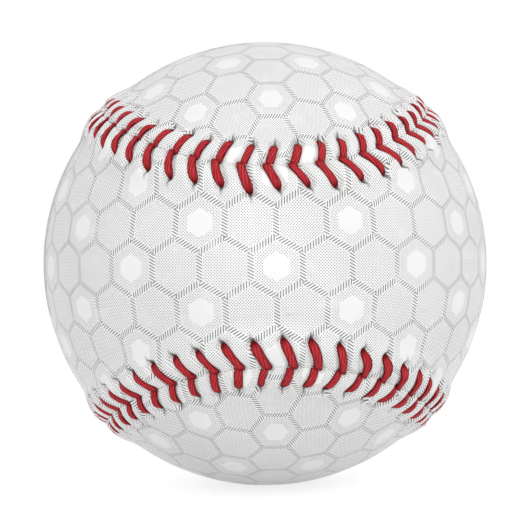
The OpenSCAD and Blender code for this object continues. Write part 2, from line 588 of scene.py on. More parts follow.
    def needle_mark(self, angle: np.ndarray, reach: np.ndarray) -> np.ndarray:
        """Finds where each place lies by its nearest needle hole.

        Args:
            angle: The seam angle of each place.
            reach: The reach of each place, with its sign.

        Returns:
            In millimetres, the distance across and out along the slit, and the
            distance from the seam.
        """
        best = np.full(reach.shape, np.inf)
        mark = np.stack([best, best, np.abs(reach)], axis=-1)
        for side in Side:
            share = self.plan.sewing(side).mark
            for _, _, across, out in self.near_legs(self.plan.legs(side), angle, reach):
                far = np.hypot(across, out)
                nearer = far < best
                best = np.minimum(best, far)
                mark[nearer, :2] = np.stack([across, share * out], axis=-1)[nearer]
        mark[np.abs(mark[..., 0]) >= self.mark_w, 1] = FAR_OFF * MM
        return mark / MM


@dataclass(frozen=True)
class CoverPanel:
    """One figure-8 panel of the cover.

    The panel is drawn flat, as rings round a disc with the cut edge's ring at
    radius one. The rings inside it are the outer face and those outside it the
    lining, and each is then laid on the ball.

    Attributes:
        side: Which panel it is.
        face: The shape of the leather near the seam.
        leather_t: Thickness of the leather.
        columns_per_stitch: Steps along the seam for each stitch.
        rows: Rings of the outer face near the seam.
        lining_rows: Rings of the lining.
        coarse_share: Steps of the calm leather, as a share of those at the seam.
        end_span: Steps across a lobe's end.
        edge_reach: Distance from the seam to the cut edge.
        band_reach: Distance from the seam to the calm leather.
        row_bias: How much closer the rings lie at the seam.
        print_turns: Longitudes at which the print stops being a strip and is a round patch.
        smooth_angle: The sharpest bend that is shaded smooth.
    """

    side: Side
    face: LeatherFace
    leather_t: float = 1.27 * MM
    columns_per_stitch: int = 20
    rows: int = 32
    lining_rows: int = 5
    coarse_share: float = 0.2
    end_span: int = 36
    edge_reach: float = 0.02 * MM
    band_reach: float = 7.2 * MM
    row_bias: float = 0.85
    print_turns: tuple[float, ...] = (TAU / 14, TAU / 5)
    smooth_angle: float = math.radians(60)

    @property
    def name(self) -> str:
        """Name of the finished piece."""
        return f"leather_panel_{self.side.name.lower()}"

    @property
    def columns(self) -> int:
        """Steps along the seam."""
        return self.face.plan.count * self.columns_per_stitch

    @property
    def coarse_columns(self) -> int:
        """Steps round the calm leather and the lining."""
        return round(self.columns * self.coarse_share)

    @property
    def ring_step(self) -> float:
        """Distance between two rings of the flat drawing."""
        return 0.5 / self.rows

    @property
    def first_turn(self) -> float:
        """Share of the seam's length at which a lobe ends."""
        return -0.25 if self.side is Side.FRONT else 0.0

    def draw_rings(self, name: str, columns: int, first: int, last: int) -> bpy.types.Object:
        """Draws some rings of the flat panel.

        Args:
            name: Name of the object.
            columns: Steps round each ring.
            first: Number of the first ring, counted inwards from the cut edge.
            last: Number of the last ring.

        Returns:
            The flat object.
        """
        step = 1 if last >= first else -1
        radii = [1 - self.ring_step * ring for ring in range(first, last + step, step)]
        rings = start_piece(bpy.ops.mesh.primitive_circle_add, name, vertices=columns, radius=radii[0])
        bpy.ops.object.mode_set(mode="EDIT")
        bpy.ops.mesh.select_all(action="SELECT")
        for before, radius in zip(radii, radii[1:]):
            bpy.ops.mesh.extrude_region_move()
            bpy.ops.transform.resize(value=(radius / before, radius / before, 1))
        bpy.ops.object.mode_set(mode="OBJECT")
        return rings

    def ring_numbers(self, panel: bpy.types.Object) -> tuple[np.ndarray, np.ndarray]:
        """Reads the flat drawing.

        Args:
            panel: The flat object.

        Returns:
            The ring number of each vertex and its share of the way round.
        """
        flat = read_points(panel)
        ring = np.rint((1 - np.hypot(flat[:, 0], flat[:, 1])) / self.ring_step).astype(int)
        turn = (np.arctan2(-flat[:, 0], flat[:, 1]) / TAU) % 1
        return ring, self.first_turn + turn

    def bridge(self, panel: bpy.types.Object, *rings: int) -> None:
        """Joins two rings of the flat drawing with faces.

        Args:
            panel: The flat object.
            *rings: The numbers of the two rings.
        """
        ring, _ = self.ring_numbers(panel)
        pick_points(panel, np.isin(ring, rings))
        bpy.ops.mesh.bridge_edge_loops()
        bpy.ops.object.mode_set(mode="OBJECT")

    def lay(self, ring: np.ndarray, turn: np.ndarray) -> tuple[np.ndarray, np.ndarray]:
        """Finds the places of the rings on the ball.

        The lines across the rings lean as the thread legs do, so that the
        grooves have clean sides.

        Args:
            ring: The ring number of each vertex.
            turn: Its share of the seam's length.

        Returns:
            The points, and their needle marks.
        """
        share = np.where(ring >= 0, ring / self.rows, (-ring - 1) / self.lining_rows)
        spread = np.where(ring >= 0, (1 - self.row_bias) * share + self.row_bias * share**2, share)
        reach = self.side.value * (self.edge_reach + (self.band_reach - self.edge_reach) * spread)
        seam, plan = self.face.seam, self.face.plan
        distance = np.abs(reach)
        shear = plan.sewing(self.side).lean * np.minimum(distance / plan.hole_reach, 1)
        shear = shear * ease(distance, self.band_reach, plan.hole_reach)
        angle = seam.angle(turn) + shear / seam.pace
        outer = seam.ball_r + (self.face.bed(angle, reach) - self.face.crease(distance))
        radius = np.where(ring >= 0, outer, seam.ball_r - self.leather_t)
        return seam.beside(angle, reach, radius), self.face.needle_mark(angle, reach)

    def fill(self, panel: bpy.types.Object, chosen: np.ndarray, corner: int, radius: float) -> None:
        """Fills a ring with a grid that lies on the ball.

        Args:
            panel: The panel, laid on the ball.
            chosen: Marks the ring's vertices.
            corner: Index of the vertex at the grid's first corner.
            radius: The grid's distance from the ball's centre.
        """
        count = len(panel.data.vertices)
        pick_points(panel, chosen)
        mesh = bmesh.from_edit_mesh(panel.data)
        mesh.verts.ensure_lookup_table()
        mesh.select_history.clear()
        mesh.select_history.add(mesh.verts[corner])
        bmesh.update_edit_mesh(panel.data)
        bpy.ops.mesh.fill_grid(span=self.end_span, offset=0)
        bpy.ops.object.mode_set(mode="OBJECT")
        points = read_points(panel)
        points[count:] = radius * unit(points[count:])
        write_points(panel, points)

    def print_places(self, points: np.ndarray) -> np.ndarray:
        """Lays the printed ground on the panel as on flat leather.

        The waist is a strip that unrolls, and each lobe a round patch whose
        distances from its middle are kept.

        Args:
            points: The panel's vertices.

        Returns:
            The flat places in millimetres.
        """
        out = unit(points)
        if self.side is Side.BACK:
            out = out[:, [2, 1, 0]] * np.array([1, -1, 1])
        x, y, z = out.T
        longitude = np.arctan2(x, -y)
        strip = np.stack([longitude, np.arcsin(z.clip(-1, 1))], axis=1)
        from_middle = np.arccos(np.abs(x).clip(0, 1))
        sine = np.maximum(np.hypot(y, z), 1e-9)
        patch = np.stack([np.sign(x) * (TAU / 4 + from_middle * y / sine), from_middle * z / sine], axis=1)
        share = ease(np.abs(longitude), *self.print_turns)[:, None]
        return self.face.seam.ball_r / MM * (strip + share * (patch - strip))

    def build(self) -> bpy.types.Object:
        """Builds the panel.

        Returns:
            The closed leather shell.
        """
        seam_band = self.draw_rings(self.name, self.columns, 0, self.rows - 1)
        calm_ring = self.draw_rings("calm_ring", self.coarse_columns, self.rows, self.rows)
        lining = self.draw_rings("lining", self.coarse_columns, -1, -1 - self.lining_rows)
        panel = join_pieces([seam_band, calm_ring, lining])
        self.bridge(panel, self.rows - 1, self.rows)
        self.bridge(panel, 0, -1)
        ring, turn = self.ring_numbers(panel)
        points, marks = self.lay(ring, turn)
        write_points(panel, points)
        corner_turn = self.first_turn + 1 - self.end_span / 2 / self.coarse_columns
        for number, radius in (
            (self.rows, self.face.seam.ball_r),
            (-1 - self.lining_rows, self.face.seam.ball_r - self.leather_t),
        ):
            chosen = np.zeros(len(panel.data.vertices), dtype=bool)
            chosen[: len(ring)] = ring == number
            corner = int(np.argmin(np.where(ring == number, np.abs(turn - corner_turn), np.inf)))
            self.fill(panel, chosen, corner, radius)
        turn_faces_out()
        bpy.ops.object.shade_smooth_by_angle(angle=self.smooth_angle)
        all_marks = np.full((len(panel.data.vertices), 3), FAR_OFF)
        all_marks[: len(marks)] = marks
        needle = panel.data.attributes.new(NEEDLE_MARK, "FLOAT_VECTOR", "POINT")
        needle.data.foreach_set("vector", all_marks.astype(np.float32).ravel())
        add_map(panel, PRINT_MAP, self.print_places(read_points(panel)))
        return panel


@dataclass(frozen=True)
class ThreadRow:
    """The visible thread legs on one side of the seam.

    Attributes:
        side: Which panel they lie on.
        face: The leather that they lie on.
        sides: Faces round the thread.
        thread_t: Thickness of the flattened thread.
        gap: Running gap under the thread.
        tip_length: How far the rounded inner end goes past the tip.
        hole_length: How far the outer end goes into the hole.
        tip_share: Share of a leg over which its inner end's slant and lift die away.
        ring_shares: Places of the rings from the inner end to the hole.
        map_step: Whole steps along the strand map from leg to leg, so that no two look alike.
        smooth_angle: The sharpest bend that is shaded smooth.
    """

    side: Side
    face: LeatherFace
    sides: int = 7
    thread_t: float = 0.45 * MM
    gap: float = 0.03 * MM
    tip_length: float = 0.42 * MM
    hole_length: float = 0.3 * MM
    tip_share: float = 0.4
    ring_shares: tuple[float, ...] = (0, 0.05, 0.15, 0.33, 0.52, 0.7, 0.83, 0.93, 1)
    map_step: int = 3
    smooth_angle: float = math.radians(80)

    @property
    def name(self) -> str:
        """Name of the finished piece."""
        return f"thread_legs_{self.side.name.lower()}"

    @property
    def sewing(self) -> Sewing:
        """How this side is sewn."""
        return self.face.plan.sewing(self.side)

    def pattern(self) -> bpy.types.Object:
        """Models one straight leg, one unit wide, thick and long.

        Returns:
            The pattern that every leg is copied from.
        """
        rings = list(zip(self.ring_shares, self.sewing.widths))
        leg = start_piece(
            bpy.ops.mesh.primitive_circle_add, self.name,
            vertices=self.sides, radius=rings[0][1] / 2, fill_type="NGON",
        )
        bpy.ops.object.mode_set(mode="EDIT")
        bpy.ops.mesh.select_all(action="SELECT")
        for (low, before), (high, after) in zip(rings, rings[1:]):
            bpy.ops.mesh.extrude_region_move(TRANSFORM_OT_translate={"value": (0, 0, high - low)})
            bpy.ops.transform.resize(value=(after / before, after / before, 1))
        bpy.ops.object.mode_set(mode="OBJECT")
        turn_faces_out()
        bpy.ops.object.shade_smooth_by_angle(angle=self.smooth_angle)
        return leg

    def lay(self, legs: Legs, k: int, shape: np.ndarray) -> np.ndarray:
        """Lays one leg on the leather.

        Args:
            legs: The places of this side's legs.
            k: Number of the stitch.
            shape: The pattern's vertices.

        Returns:
            The leg's vertices.
        """
        seam, sewing = self.face.seam, self.sewing
        span = legs.hole[k] - legs.tip[k]
        length = np.linalg.norm(span)
        line = span / length
        across = np.array([-line[1], line[0]])
        along = -self.tip_length + shape[:, 2] * (length + self.tip_length + self.hole_length)
        along = along + sewing.slant * legs.width[k] * shape[:, 0] * ease(shape[:, 2], self.tip_share, 0)
        share = np.clip(along / length, 0, 1)
        bow = -legs.bow[k] * np.sin(TAU / 2 * share)
        middle = legs.tip[k] + along[:, None] * line + bow[:, None] * across
        place = middle + (shape[:, 0] * legs.width[k])[:, None] * across
        thickness = self.thread_t * np.interp(shape[:, 2], self.ring_shares, sewing.heights)
        lift = sewing.lift * ease(share, self.tip_share, 0)
        floor = self.face.bed(legs.angle[k] + middle[:, 0] / seam.pace, middle[:, 1])
        angle = legs.angle[k] + place[:, 0] / seam.pace
        height = np.maximum(
            floor + lift + self.gap + thickness * shape[:, 1],
            self.face.bed(angle, place[:, 1]) + self.gap,
        )
        return seam.beside(angle, place[:, 1], seam.ball_r + height)

    def build(self) -> bpy.types.Object:
        """Builds all the legs of this side.

        Returns:
            One object with a closed shell for each leg.
        """
        leg = self.pattern()
        drawn = read_points(leg)
        widths = np.interp(drawn[:, 2], self.ring_shares, self.sewing.widths)
        shape = np.stack([drawn[:, 0], drawn[:, 1] / widths + 0.5, drawn[:, 2]], axis=1)
        strand = np.stack([drawn[:, 0] / widths + 0.5, drawn[:, 2]], axis=1)
        legs = self.face.plan.legs(self.side)
        copies = []
        for k in range(self.face.plan.count):
            copy = leg.copy()
            copy.data = leg.data.copy()
            bpy.context.collection.objects.link(copy)
            write_points(copy, self.lay(legs, k, shape))
            add_map(copy, STRAND_MAP, strand + [0, self.map_step * k])
            copies.append(copy)
        bpy.data.objects.remove(leg)
        row = join_pieces(copies)
        row.name = self.name
        row.data.name = self.name
        turn_faces_out()
        return row


class Shade:
    """A number from a node's socket, on which arithmetic adds Math nodes."""

    def __init__(self, bench: "Bench", socket: bpy.types.NodeSocket) -> None:
        """Wraps a socket of a node on a bench."""
        self.bench = bench
        self.socket = socket

    def __add__(self, other: "Shade | float") -> "Shade":
        """Adds."""
        return self.bench.math("ADD", self, other)

    __radd__ = __add__

    def __sub__(self, other: "Shade | float") -> "Shade":
        """Subtracts."""
        return self.bench.math("SUBTRACT", self, other)

    def __rsub__(self, other: float) -> "Shade":
        """Subtracts from a number."""
        return self.bench.math("SUBTRACT", other, self)

    def __mul__(self, other: "Shade | float") -> "Shade":
        """Multiplies."""
        return self.bench.math("MULTIPLY", self, other)

    __rmul__ = __mul__

    def __truediv__(self, other: "Shade | float") -> "Shade":
        """Divides."""
        return self.bench.math("DIVIDE", self, other)

    def __mod__(self, other: float) -> "Shade":
        """Returns the rest of a division, never negative."""
        return self.bench.math("FLOORED_MODULO", self, other)

    def __abs__(self) -> "Shade":
        """Drops the sign."""
        return self.bench.math("ABSOLUTE", self)

    def sine(self) -> "Shade":
        """Returns the sine."""
        return self.bench.math("SINE", self)

    def floor(self) -> "Shade":
        """Rounds down."""
        return self.bench.math("FLOOR", self)

    def below(self, other: "Shade | float") -> "Shade":
        """Returns 1 where this is less than the other, and 0 elsewhere."""
        return self.bench.math("LESS_THAN", self, other)

    def most(self, other: "Shade | float") -> "Shade":
        """Returns the larger of the two."""
        return self.bench.math("MAXIMUM", self, other)

    def ease(self, low: float, high: float) -> "Shade":
        """Rises smoothly from 0 to 1.

        Args:
            low: The value where the rise starts.
            high: The value where it ends, which may be the lower of the two.

        Returns:
            The height of the rise.
        """
        node = self.bench.add(
            "ShaderNodeMapRange", {"interpolation_type": "SMOOTHSTEP"},
            {"Value": self, "From Min": low, "From Max": high},
        )
        return Shade(self.bench, node.outputs["Result"])


class Bench:
    """The node tree of one material or world, and the ways to add to it."""

    def __init__(self, name: str, blocks: bpy.types.bpy_prop_collection = bpy.data.materials) -> None:
        """Starts a new material, or a world, with its bare surface.

        Args:
            name: Its name.
            blocks: Blender's list of the materials or of the worlds.
        """
        self.block = blocks.new(name)
        self.block.use_nodes = True
        self.tree = self.block.node_tree
        self.output, self.surface = (
            next(node for node in self.tree.nodes if node.type.startswith(kinds))
            for kinds in ("OUTPUT", ("BSDF", "BACKGROUND"))
        )

    def add(self, kind: str, settings: dict | None = None, sockets: dict | None = None) -> bpy.types.Node:
        """Adds a node.

        Args:
            kind: The node's type.
            settings: Its own settings, which are set first.
            sockets: Values or links for its input sockets, by name or number.

        Returns:
            The new node.
        """
        node = self.tree.nodes.new(kind)
        for key, value in (settings or {}).items():
            setattr(node, key, value)
        for key, value in (sockets or {}).items():
            self.join(value, node.inputs[key])
        return node

    def join(self, value: object, socket: bpy.types.NodeSocket) -> None:
        """Links or sets an input.

        Args:
            value: A shade or a socket to link, or a plain value.
            socket: The input.
        """
        if isinstance(value, Shade):
            value = value.socket
        if isinstance(value, bpy.types.NodeSocket):
            self.tree.links.new(value, socket)
        else:
            socket.default_value = value

    def math(self, operation: str, *terms: Shade | float) -> Shade:
        """Adds a Math node for the terms and returns its result."""
        node = self.add("ShaderNodeMath", {"operation": operation}, dict(enumerate(terms)))
        return Shade(self, node.outputs[0])

    def axes(self, vector: bpy.types.NodeSocket) -> tuple[Shade, Shade, Shade]:
        """Splits a vector into its three numbers."""
        node = self.add("ShaderNodeSeparateXYZ", None, {0: vector})
        return tuple(Shade(self, socket) for socket in node.outputs)

    def place(self) -> bpy.types.NodeSocket:
        """Returns the object's own coordinates, in metres."""
        return self.add("ShaderNodeTexCoord").outputs["Object"]

    def noise(self, vector: bpy.types.NodeSocket, size: float, detail: float = 2.0) -> Shade:
        """Adds noise.

        Args:
            vector: The coordinates.
            size: Size of its lumps, in the coordinates' unit.
            detail: How many finer layers it has.

        Returns:
            A number round one half.
        """
        node = self.add("ShaderNodeTexNoise", None, {"Vector": vector, "Scale": 1 / size, "Detail": detail})
        return Shade(self, node.outputs["Fac"])

    def cells(self, vector: bpy.types.NodeSocket, size: float, feature: str = "F1") -> bpy.types.Node:
        """Adds a pattern of cells of a given size and returns its node."""
        return self.add("ShaderNodeTexVoronoi", {"feature": feature}, {"Vector": vector, "Scale": 1 / size})

    def blend(self, share: Shade | float, first: object, second: object) -> bpy.types.NodeSocket:
        """Blends two colours.

        Args:
            share: Share of the second colour.
            first: A colour or a colour socket.
            second: A colour or a colour socket.

        Returns:
            The blended colour.
        """
        node = self.add("ShaderNodeMix", {"data_type": "RGBA"}, {0: share, 6: first, 7: second})
        return node.outputs[2]

    def bump(self, height: Shade, depth: float) -> None:
        """Raises the surface by a height from 0 to 1 that stands for a real depth in metres."""
        node = self.add("ShaderNodeBump", None, {"Strength": 1.0, "Distance": depth, "Height": height})
        self.join(node.outputs["Normal"], self.surface.inputs["Normal"])

    def set(self, **values: object) -> None:
        """Sets or links sockets of the surface shader; an underscore in a name stands for a space."""
        for key, value in values.items():
            self.join(value, self.surface.inputs[key.replace("_", " ")])

    def show(self, bright: bpy.types.NodeSocket) -> None:
        """Shows the camera, gloss and glass another shader than the one that lights the scene.

        Args:
            bright: The shader that they see.
        """
        rays = self.add("ShaderNodeLightPath").outputs
        seen = sum(Shade(self, rays[f"Is {kind} Ray"]) for kind in ("Camera", "Glossy", "Transmission"))
        mixed = self.add("ShaderNodeMixShader", None, {0: seen, 1: self.surface.outputs[0], 2: bright})
        self.join(mixed.outputs[0], self.output.inputs["Surface"])


def paint(red: float, green: float, blue: float) -> tuple[float, float, float, float]:
    """Returns a colour as a socket takes it."""
    return (red, green, blue, 1.0)


@dataclass(frozen=True)
class GroundPrint:
    """A fine grey ground printed on the leather: dots and a honeycomb of hatched bands.

    Lengths are in millimetres on the flat leather. An edge holds the value at
    which a mark has faded out and the one at which it is whole.

    Attributes:
        dot_pitch: Distance between two dots.
        dot_edge: Edge of a dot, on a wave from 0 to 1.
        dot_ink: How strongly the dots are inked.
        comb_w: Width of a honeycomb cell.
        bare_edge: Edge of the bare patch in every third cell, inwards from the cell's border.
        band_w: Half width of the hatched bands along the cells' borders.
        band_edge: Edge of a band's strokes, as a share of that.
        blank_edge: Edge of the strip that the dots leave blank for a band, in the same way.
        hatch_pitch: Distance between the strokes of a band.
        hatch_edge: Edge of a stroke, on a wave from -1 to 1.
        hatch_ink: How strongly the strokes are inked.
    """

    dot_pitch: float = 0.32
    dot_edge: tuple[float, ...] = (0.64, 0.9)
    dot_ink: float = 1.0
    comb_w: float = 7.4
    bare_edge: tuple[float, ...] = (1.8, 1.88)
    band_w: float = 0.46
    band_edge: tuple[float, ...] = (1.05, 0.9)
    blank_edge: tuple[float, ...] = (1.3, 1.1)
    hatch_pitch: float = 0.4
    hatch_edge: tuple[float, ...] = (0.22, 0.68)
    hatch_ink: float = 0.95

    def honeycomb(self, u: Shade, v: Shade) -> tuple[Shade, Shade, Shade]:
        """Draws a honeycomb.

        Args:
            u: The flat place across.
            v: The flat place up.

        Returns:
            The distance inwards from the nearest border, a mask of every third
            cell, and the distance along the strokes' own pitch.
        """
        root = math.sqrt(3)
        across, up = u / self.comb_w, v / self.comb_w
        first = (across % 1 - 0.5, up % root - root / 2)
        second = ((across - 0.5) % 1 - 0.5, (up - root / 2) % root - root / 2)
        reach = [x * x + y * y for x, y in (first, second)]
        nearer = reach[0].below(reach[1])
        x, y = (b + nearer * (a - b) for a, b in zip(first, second))
        slanted = abs(x) / 2 + abs(y) * (root / 2)
        border = abs(x).most(slanted)
        upright = slanted.below(abs(x))
        falling = (x * y).below(0) * (1 - upright)
        rising = 1 - upright - falling
        strokes = u * (falling + (upright - rising) / 2) + v * (1 - falling) * (root / 2)
        kind = ((across - x) - (up - y) * root + 0.25).floor() % 3
        return (0.5 - border) * self.comb_w, kind.below(0.5), strokes

    def draw(self, bench: Bench) -> Shade:
        """Draws the dots, the hatched bands and the bare patches.

        Args:
            bench: The material's bench.

        Returns:
            How strongly each place is inked.
        """
        u, v, _ = bench.axes(bench.add("ShaderNodeUVMap", {"uv_map": PRINT_MAP}).outputs["UV"])
        wave = TAU / 2 / self.dot_pitch / math.sqrt(2)
        dots = abs(((u + v) * wave).sine() * ((u - v) * wave).sine()).ease(*self.dot_edge)
        inwards, third, strokes = self.honeycomb(u, v)
        stroke = (strokes * (TAU / self.hatch_pitch)).sine().ease(*self.hatch_edge)
        hatch = stroke * inwards.ease(*(self.band_w * share for share in self.band_edge))
        blank = inwards.ease(*(self.band_w * share for share in self.blank_edge))
        bare = third * inwards.ease(*self.bare_edge)
        ground = dots * (1 - bare) * (1 - blank)
        return (ground * self.dot_ink).most(hatch * self.hatch_ink)


@dataclass(frozen=True)
class SewingShade:
    """Painted shade in the needle holes, in the slits that run out from them and in the crease along the
    seam, over their modelled dips.

    Lengths are in millimetres. An edge holds the value at which the painted
    shade has faded out and the one at which it is whole.

    Attributes:
        slit_side: Edge off the slit's line.
        slit_end: Edge outwards along the slit.
        slit_start: Edge along the slit behind the hole.
        hole_out: Distance from the hole out to the middle of its round mark.
        hole_weight: Weight of the distance along the slit, which draws that mark out.
        hole_edge: Edge of the mark, as a squared distance.
        seam_edge: Edge off the seam.
        seam_crease_shade: How dark the painted shade in the seam crease is, as a share of a hole's.
        hole_shade: How dark the painted shade in a hole is.
    """

    slit_side: tuple[float, ...] = (0.3, 0.08)
    slit_end: tuple[float, ...] = (1.7, 0.3)
    slit_start: tuple[float, ...] = (-0.4, -0.1)
    hole_out: float = 0.1
    hole_weight: float = 0.6
    hole_edge: tuple[float, ...] = (0.22, 0.05)
    seam_edge: tuple[float, ...] = (0.14, 0.02)
    seam_crease_shade: float = 0.06
    hole_shade: float = 0.9

    def draw(self, bench: Bench) -> Shade:
        """Draws the painted shade.

        Args:
            bench: The material's bench.

        Returns:
            How dark each place is.
        """
        marks = bench.add("ShaderNodeAttribute", {"attribute_name": NEEDLE_MARK})
        across, out, reach = bench.axes(marks.outputs["Vector"])
        # Painted shade in the slit that runs out from each hole, in the hole itself and in the crease along
        # the seam.
        slit = abs(across).ease(*self.slit_side) * out.ease(*self.slit_end) * out.ease(*self.slit_start)
        along = out - self.hole_out
        hole = (across * across + along * along * self.hole_weight).ease(*self.hole_edge)
        seam = reach.ease(*self.seam_edge) * self.seam_crease_shade
        return slit.most(hole).most(seam) * self.hole_shade


@dataclass(frozen=True)
class LeatherFinish:
    """White cover leather, printed and sewn.

    Attributes:
        white: Colour of the bare leather.
        warm: Colour of its faintly warmer patches.
        ink: Colour of the print.
        shadow: Colour of the painted shade far down in a needle hole, its slit and the seam crease.
        ground: The print.
        sewing: The painted shade of the sewing.
        patch: Size of the warmer patches.
        patch_edge: Noise at which a patch starts, and at which it is warmest.
        wear: Size of the places where the print has worn.
        wear_edge: Noise at which the print is most worn, and at which it is whole.
        fade: Least strength of the print.
        pore: Size of the leather's pores.
        grain: Size of its finest grain.
        fold: Size of its folds.
        relief: Depth of all three.
        cloud: Size of the places where it is rougher or smoother.
        roughness: Its mean roughness.
    """

    white: tuple[float, ...] = paint(0.91, 0.912, 0.912)
    warm: tuple[float, ...] = paint(0.885, 0.885, 0.878)
    ink: tuple[float, ...] = paint(0.05, 0.054, 0.058)
    shadow: tuple[float, ...] = paint(0.015, 0.016, 0.018)
    ground: GroundPrint = GroundPrint()
    sewing: SewingShade = SewingShade()
    patch: float = 14 * MM
    patch_edge: tuple[float, ...] = (0.42, 0.66)
    wear: float = 2.2 * MM
    wear_edge: tuple[float, ...] = (0.2, 0.5)
    fade: float = 0.6
    pore: float = 0.42 * MM
    grain: float = 0.16 * MM
    fold: float = 3.2 * MM
    relief: float = 0.035 * MM
    cloud: float = 1.1 * MM
    roughness: float = 0.42

    def build(self) -> bpy.types.Material:
        """Builds the material.

        Returns:
            The finished material.
        """
        bench = Bench("white_leather")
        place = bench.place()
        ink = self.ground.draw(bench)
        kept = bench.noise(place, self.wear).ease(*self.wear_edge)
        patches = bench.noise(place, self.patch, 3.0).ease(*self.patch_edge)
        leather = bench.blend(patches, self.white, self.warm)
        printed = bench.blend(ink * (self.fade + (1 - self.fade) * kept), leather, self.ink)
        # Painted shade in the needle holes, their slits and the seam crease darkens the printed leather.
        bench.set(Base_Color=bench.blend(self.sewing.draw(bench), printed, self.shadow))
        pores = Shade(bench, bench.cells(place, self.pore).outputs["Distance"])
        grain = pores * 0.6 + bench.noise(place, self.grain) * 0.4
        folds = bench.noise(place, self.fold, 3.0)
        bench.bump(grain * 0.5 + folds * 0.5, self.relief)
        cloud = bench.noise(place, self.cloud) - 0.5
        bench.set(Roughness=self.roughness + 0.12 * cloud + 0.1 * ink)
        bench.set(Specular_IOR_Level=0.4, Coat_Weight=0.3, Coat_Roughness=0.15)
        return bench.block


@dataclass(frozen=True)
class ThreadFinish:
    """Waxed red thread, flattened by rolling.

    Places on it are shares of the thread's width and of a leg's length, from
    its inner end to its hole. An edge holds the place at which a shade has
    faded out and the one at which it is whole.

    Attributes:
        red: Colour on the strands, paled a little as a painted highlight.
        valley: Colour of the painted shade between the strands.
        shade_and_blotch: Colour of the painted shade at the thread's sides and at its ends, where it goes
            into a hole and at its inner end, and of its darker blotches.
        strands: Number of strands across the thread.
        twist: How far the strands drift across it along a leg.
        fibres: Number of streaks of fibre across the thread and along a leg.
        waver: How far those push the strands aside.
        side_edge: Edge of the painted shade at the sides, off the thread's middle.
        hole_edge: Edge of the painted shade at the end by the hole.
        inner_edge: Edge of the painted shade at the inner end.
        blotch: Size of its darker blotches.
        relief: Height of the strands.
    """

    red: tuple[float, ...] = paint(0.57, 0.062, 0.078)
    valley: tuple[float, ...] = paint(0.37, 0.002, 0.004)
    shade_and_blotch: tuple[float, ...] = paint(0.13, 0.0, 0.001)
    strands: float = 3.0
    twist: float = 0.9
    fibres: tuple[float, ...] = (14, 2.5)
    waver: float = 0.08
    side_edge: tuple[float, ...] = (0.28, 0.46)
    hole_edge: tuple[float, ...] = (0.78, 1.0)
    inner_edge: tuple[float, ...] = (0.16, 0.02)
    blotch: float = 2.6 * MM
    relief: float = 0.07 * MM

    def build(self) -> bpy.types.Material:
        """Builds the material.

        Returns:
            The finished material.
        """
        bench = Bench("red_thread")
        u, v, _ = bench.axes(bench.add("ShaderNodeUVMap", {"uv_map": STRAND_MAP}).outputs["UV"])
        across, along = self.fibres
        stretched = bench.add("ShaderNodeCombineXYZ", None, {0: u * across, 1: v * along}).outputs[0]
        fibre = bench.noise(stretched, 1.0, 3.0)
        strand = abs(((u + v * self.twist + fibre * self.waver) * (TAU / 2 * self.strands)).sine())
        sides = abs(u - 0.5).ease(*self.side_edge)
        share = v % 1
        ends = share.ease(*self.hole_edge).most(share.ease(*self.inner_edge) * 0.7)
        # Painted highlight on the strand crowns and painted shade between the strands, with fibre streaks.
        strand_shade_and_fibre = bench.blend((1 - strand) * 0.9 + fibre.ease(0.42, 0.68) * 0.6, self.red, self.valley)
        blotches = bench.noise(bench.place(), self.blotch).ease(0.3, 0.75)
        # Painted shade at the thread's sides and ends, with random darker blotches.
        shade = (sides * 0.95).most(ends * 0.9).most(blotches * 0.2)
        bench.set(Base_Color=bench.blend(shade, strand_shade_and_fibre, self.shade_and_blotch))
        bench.bump(strand * 0.6 + fibre * 0.4, self.relief)
        bench.set(Roughness=0.65 + 0.2 * fibre, Specular_IOR_Level=0.12)
        return bench.block


@dataclass(frozen=True)
class CorkFinish:
    """Composition cork: brown granules in a darker binder.

    Attributes:
        light: Colour of the palest granules.
        brown: Colour of the darkest granules.
        binder: Colour between the granules.
        granule: Size of a granule.
        joint_edge: Where the binder ends and where it is whole, off a joint, in granules.
        grit: Size of the finer grain.
        relief: Height of the granules.
    """

    light: tuple[float, ...] = paint(0.62, 0.42, 0.24)
    brown: tuple[float, ...] = paint(0.36, 0.2, 0.1)
    binder: tuple[float, ...] = paint(0.13, 0.07, 0.04)
    granule: float = 1.3 * MM
    joint_edge: tuple[float, ...] = (0.09, 0.02)
    grit: float = 0.3 * MM
    relief: float = 0.12 * MM

    def build(self) -> bpy.types.Material:
        """Builds the material.

        Returns:
            The finished material.
        """
        bench = Bench("composition_cork")
        place = bench.place()
        granules = bench.cells(place, self.granule)
        shade, _, _ = bench.axes(granules.outputs["Color"])
        joint = Shade(bench, bench.cells(place, self.granule, "DISTANCE_TO_EDGE").outputs["Distance"])
        gap = joint.ease(*self.joint_edge)
        bench.set(Base_Color=bench.blend(gap, bench.blend(shade, self.light, self.brown), self.binder))
        bench.bump((1 - gap) * 0.7 + bench.noise(place, self.grit) * 0.3, self.relief)
        bench.set(Roughness=0.75 + 0.15 * shade, Specular_IOR_Level=0.3)
        return bench.block


@dataclass(frozen=True)
class RubberFinish:
    """Moulded rubber with a faint bloom.

    Attributes:
        name: Name of the material.
        colour: Colour of the rubber.
        bloom: Colour where it has gone dull.
        cloud: Size of the dull places.
        speck: Size of its fine grain.
        relief: Depth of that grain.
    """

    name: str
    colour: tuple[float, ...]
    bloom: tuple[float, ...]
    cloud: float = 5 * MM
    speck: float = 0.35 * MM
    relief: float = 0.03 * MM

    def build(self) -> bpy.types.Material:
        """Builds the material.

        Returns:
            The finished material.
        """
        bench = Bench(self.name)
        place = bench.place()
        cloud = bench.noise(place, self.cloud, 4.0).ease(0.4, 0.7)
        bench.set(Base_Color=bench.blend(cloud * 0.6, self.colour, self.bloom))
        bench.bump(bench.noise(place, self.speck), self.relief)
        bench.set(Roughness=0.55 + 0.25 * cloud, Specular_IOR_Level=0.4)
        return bench.block


